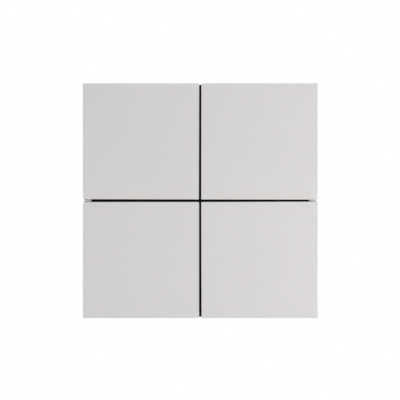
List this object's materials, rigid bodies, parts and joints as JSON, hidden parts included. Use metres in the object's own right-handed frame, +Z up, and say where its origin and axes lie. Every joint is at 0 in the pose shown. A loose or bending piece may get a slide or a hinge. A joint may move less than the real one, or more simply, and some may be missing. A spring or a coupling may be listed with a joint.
{
  "type": "bus push-button panel",
  "caption": "Flush wall panel with square rocking push-button plates in a grid over a black base, steel mounting ring, rear housing and plug-in bus terminal.",
  "frame": {"origin": "middle of the wall box, in the plane of the wall's surface, on the back face of the mounting ring", "axes": "+Z up as the panel hangs, +X to the right seen from the room, +Y into the wall; the keys face -Y"},
  "size_m": [0.081, 0.0359, 0.081],
  "materials": {
    "key_face": "matte warm light grey, fine even grain",
    "black_moulding": "fine-textured black moulding",
    "white_moulding": "smooth natural white moulding",
    "switch_stem": "smooth black moulding",
    "spring_steel": "bright spring strip",
    "switch_black": "black moulding",
    "light_guide": "frosted milky light guide",
    "lamp": "small white lamp, unlit",
    "lamp_red": "small red lamp, unlit",
    "board_green": "green lacquered board",
    "chip_black": "moulded package",
    "button_white": "small white moulding",
    "zinc_steel": "zinc-plated pressed steel",
    "grey_moulding": "anthracite moulding",
    "aluminium_can": "plain aluminium can",
    "brass": "gold-coloured contact pins",
    "tin_plated": "tin-plated brass",
    "red_moulding": "red moulding",
    "dark_grey_moulding": "dark grey moulding"
  },
  "bodies": {
    "panel": {"return_leaf_upper_left": "spring_steel", "switch_body_upper_left": "switch_black", "return_leaf_upper_right": "spring_steel", "switch_body_upper_right": "switch_black", "return_leaf_lower_left": "spring_steel", "switch_body_lower_left": "switch_black", "return_leaf_lower_right": "spring_steel", "switch_body_lower_right": "switch_black", "base_frame": "black_moulding", "light_guide_left": "light_guide", "light_guide_right": "light_guide", "side_lamp_left": "lamp", "side_lamp_right": "lamp", "switch_covers": "spring_steel", "button_board": "board_green", "small_parts": "chip_black", "programming_switch": "switch_black", "programming_lamp": "lamp_red", "mounting_ring": "zinc_steel", "rear_housing": "grey_moulding", "housing_screws": "zinc_steel", "coupler_board": "board_green", "storage_capacitors": "aluminium_can", "supply_coil": "chip_black", "controller_chip": "chip_black", "transceiver_chip": "chip_black", "header_block": "switch_black", "header_pins": "brass", "bus_pins": "tin_plated", "terminal_pole_red": "red_moulding", "terminal_pole_dark": "dark_grey_moulding", "terminal_contact_red": "tin_plated", "terminal_contact_dark": "tin_plated"},
    "key_upper_left": {"key_plate_upper_left": "key_face", "key_carrier_upper_left": "black_moulding"},
    "plunger_upper_left": {"plunger_upper_left": "white_moulding", "switch_stem_upper_left": "switch_stem"},
    "key_upper_right": {"key_plate_upper_right": "key_face", "key_carrier_upper_right": "black_moulding"},
    "plunger_upper_right": {"plunger_upper_right": "white_moulding", "switch_stem_upper_right": "switch_stem"},
    "key_lower_left": {"key_plate_lower_left": "key_face", "key_carrier_lower_left": "black_moulding"},
    "plunger_lower_left": {"plunger_lower_left": "white_moulding", "switch_stem_lower_left": "switch_stem"},
    "key_lower_right": {"key_plate_lower_right": "key_face", "key_carrier_lower_right": "black_moulding"},
    "plunger_lower_right": {"plunger_lower_right": "white_moulding", "switch_stem_lower_right": "switch_stem"},
    "programming_button": {"programming_button": "button_white"}
  },
  "joints": [
    {"name": "press_upper_left", "type": "hinge", "parent": "panel", "child": "key_upper_left", "pos_m": [-0.004, -0.0073, 0.02043], "axis": [0, 0, -1], "range_deg": [0, 1.5], "stiffness_Nm_per_rad": 1.2, "springref_deg": -0.86, "deforming": ["return_leaf_upper_left"]},
    {"name": "press_upper_right", "type": "hinge", "parent": "panel", "child": "key_upper_right", "pos_m": [0.004, -0.0073, 0.02043], "axis": [0, 0, 1], "range_deg": [0, 1.5], "stiffness_Nm_per_rad": 1.2, "springref_deg": -0.86, "deforming": ["return_leaf_upper_right"]},
    {"name": "press_lower_left", "type": "hinge", "parent": "panel", "child": "key_lower_left", "pos_m": [-0.004, -0.0073, -0.02043], "axis": [0, 0, -1], "range_deg": [0, 1.5], "stiffness_Nm_per_rad": 1.2, "springref_deg": -0.86, "deforming": ["return_leaf_lower_left"]},
    {"name": "press_lower_right", "type": "hinge", "parent": "panel", "child": "key_lower_right", "pos_m": [0.004, -0.0073, -0.02043], "axis": [0, 0, 1], "range_deg": [0, 1.5], "stiffness_Nm_per_rad": 1.2, "springref_deg": -0.86, "deforming": ["return_leaf_lower_right"]},
    {"name": "plunge_upper_left", "type": "slide", "parent": "panel", "child": "plunger_upper_left", "axis": [0, 1, 0], "range_m": [0, 0.000315]},
    {"name": "plunge_upper_right", "type": "slide", "parent": "panel", "child": "plunger_upper_right", "axis": [0, 1, 0], "range_m": [0, 0.000315]},
    {"name": "plunge_lower_left", "type": "slide", "parent": "panel", "child": "plunger_lower_left", "axis": [0, 1, 0], "range_m": [0, 0.000315]},
    {"name": "plunge_lower_right", "type": "slide", "parent": "panel", "child": "plunger_lower_right", "axis": [0, 1, 0], "range_m": [0, 0.000315]},
    {"name": "press_programming", "type": "slide", "parent": "panel", "child": "programming_button", "axis": [0, 1, 0], "range_m": [0, 0.00025], "stiffness_N_per_m": 4000, "springref_m": -0.0001}
  ],
  "couplings": [
    {"joint": "plunge_upper_left", "follows": "press_upper_left", "m_per_rad": 0.012},
    {"joint": "plunge_upper_right", "follows": "press_upper_right", "m_per_rad": 0.012},
    {"joint": "plunge_lower_left", "follows": "press_lower_left", "m_per_rad": 0.012},
    {"joint": "plunge_lower_right", "follows": "press_lower_right", "m_per_rad": 0.012}
  ]
}
